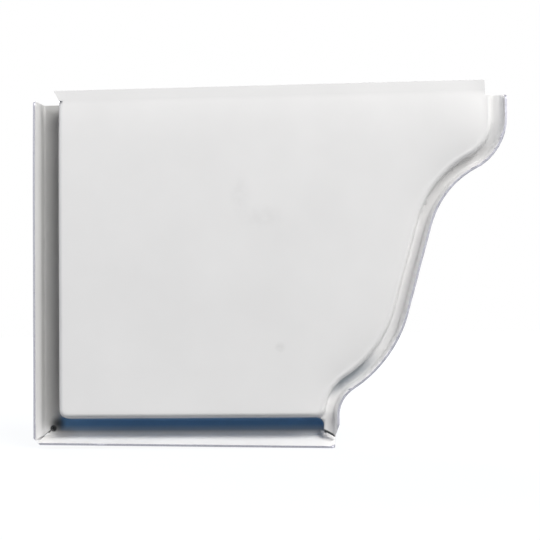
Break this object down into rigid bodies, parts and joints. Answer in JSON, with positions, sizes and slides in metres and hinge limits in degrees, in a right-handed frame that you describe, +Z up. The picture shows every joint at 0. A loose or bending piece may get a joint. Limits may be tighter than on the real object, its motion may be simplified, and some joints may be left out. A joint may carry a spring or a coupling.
{
  "type": "gutter end cap",
  "caption": "White folded-sheet end cap for a moulded-front roof gutter: a raised panel with a channel round it, deep behind and below and shallow in front, that takes the gutter's cut end.",
  "frame": {"origin": "the outer lower back corner of the gutter, on the floor of the deep channel behind and below the panel", "axes": "+X from the gutter's back wall to its moulded front, +Z up, -Y into the gutter"},
  "size_m": [0.1314, 0.0092, 0.1],
  "materials": {
    "painted_sheet": "satin white coil-coated aluminium, bare at the cut edges"
  },
  "bodies": {
    "root": {"end_cap": "painted_sheet"}
  },
  "joints": []
}
